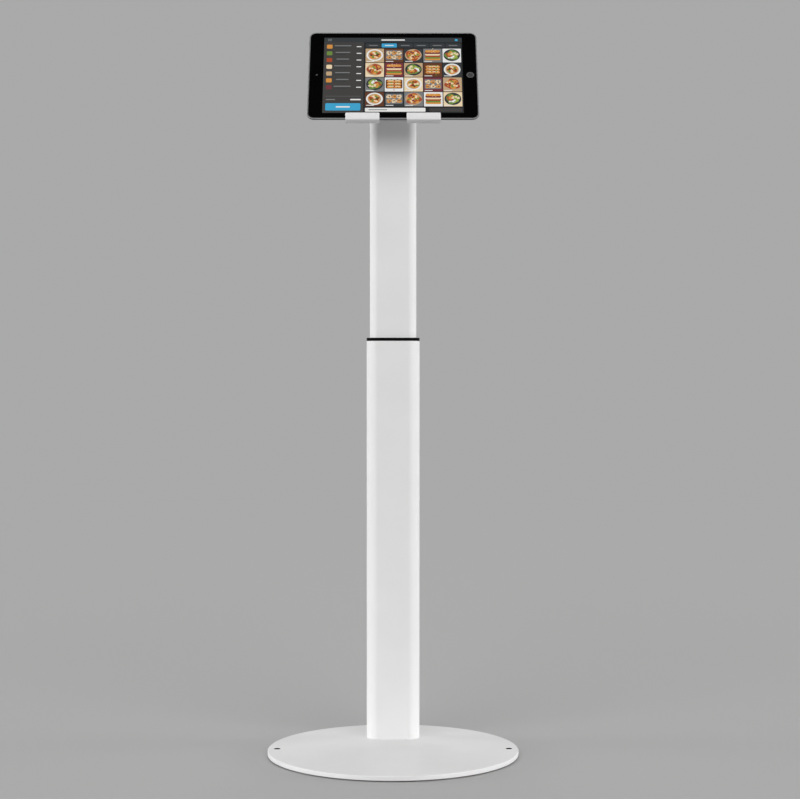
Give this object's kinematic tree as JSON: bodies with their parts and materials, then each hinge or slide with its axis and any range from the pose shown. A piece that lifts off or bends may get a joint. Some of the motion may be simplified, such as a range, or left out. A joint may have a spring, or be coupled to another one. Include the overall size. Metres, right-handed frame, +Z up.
{
  "type": "adjustable tablet floor stand",
  "caption": "Floor stand with a round weighted plate, a telescoping flat-oval column and a tilting hooked cradle that holds a tablet.",
  "frame": {"origin": "on the floor under the centre of the round base plate", "axes": "+Z up along the column; the front of the stand faces -Y, and +X is to the right of someone who stands in front of it"},
  "size_m": [0.35, 0.35, 1.0229],
  "materials": {
    "white_coat": "white powder coat on steel, satin",
    "white_cast": "cast aluminium with a white powder coat",
    "black_plastic": "black moulded plastic, fine grain",
    "dark_nylon": "dark nylon",
    "rubber": "black rubber",
    "steel": "zinc plated steel",
    "dark_steel": "blackened spring steel",
    "brass": "turned brass",
    "tablet_metal": "grey anodised aluminium",
    "black_glass": "cover glass with a black border printed behind it",
    "display": "lit display panel",
    "lens": "camera window",
    "battery": "foil pouch",
    "circuit_board": "green circuit board",
    "button_plastic": "dark grey button"
  },
  "bodies": {
    "stand": {"base_plate": "white_coat", "base_feet": "rubber", "foot_block": "steel", "column_screws": "steel", "outer_tube": "white_coat", "collar": "black_plastic", "lock_boss": "white_coat"},
    "lock_shoe": {"lock_pad": "brass"},
    "lock_handle": {"lock_stud": "steel", "lock_knob": "black_plastic"},
    "mast": {"inner_tube": "white_coat", "glide_block": "dark_nylon", "glide_pins": "steel", "head_yoke": "white_cast", "yoke_screws": "steel", "hinge_bolt": "steel", "disc_springs": "dark_steel", "hinge_nut": "steel"},
    "cradle": {"tilt_lug": "white_cast", "friction_washers": "dark_nylon", "cradle_plate": "white_coat", "cradle_screws": "steel", "hook_liners": "rubber", "grip_pads": "rubber"},
    "tablet": {"tablet_shell": "tablet_metal", "tablet_glass": "black_glass", "tablet_display": "display", "front_camera": "lens", "rear_camera": "lens", "tablet_battery": "battery", "tablet_board": "circuit_board"},
    "home_key": {"home_button": "button_plastic"},
    "power_key": {"power_button": "tablet_metal"},
    "volume_up_key": {"volume_up_button": "tablet_metal"},
    "volume_down_key": {"volume_down_button": "tablet_metal"}
  },
  "joints": [
    {"name": "height", "type": "slide", "parent": "stand", "child": "mast", "axis": [0, 0, 1], "range_m": [-0.29, 0.178]},
    {"name": "clamp", "type": "slide", "parent": "stand", "child": "lock_shoe", "axis": [0, 1, 0], "range_m": [0, 0.00125]},
    {"name": "knob_turn", "type": "hinge", "parent": "lock_shoe", "child": "lock_handle", "pos_m": [0, 0.115, 0.5519], "axis": [0, 1, 0], "range_deg": [0, 360]},
    {"name": "tilt", "type": "hinge", "parent": "mast", "child": "cradle", "pos_m": [0, 0.082, 0.9259], "axis": [-1, 0, 0], "range_deg": [-36, 44]},
    {"name": "tablet_lift", "type": "slide", "parent": "cradle", "child": "tablet", "axis": [0, 0.5878, 0.809], "range_m": [0, 0.18]},
    {"name": "home_press", "type": "slide", "parent": "tablet", "child": "home_key", "axis": [0, 0.809, -0.5878], "range_m": [0, 0.00025], "stiffness_N_per_m": 400},
    {"name": "power_press", "type": "slide", "parent": "tablet", "child": "power_key", "axis": [1, 0, 0], "range_m": [0, 0.0003], "stiffness_N_per_m": 400},
    {"name": "volume_up_press", "type": "slide", "parent": "tablet", "child": "volume_up_key", "axis": [0, -0.5878, -0.809], "range_m": [0, 0.0003], "stiffness_N_per_m": 400},
    {"name": "volume_down_press", "type": "slide", "parent": "tablet", "child": "volume_down_key", "axis": [0, -0.5878, -0.809], "range_m": [0, 0.0003], "stiffness_N_per_m": 400}
  ],
  "couplings": [
    {"joint": "knob_turn", "follows": "clamp", "rad_per_m": 5026.5}
  ]
}
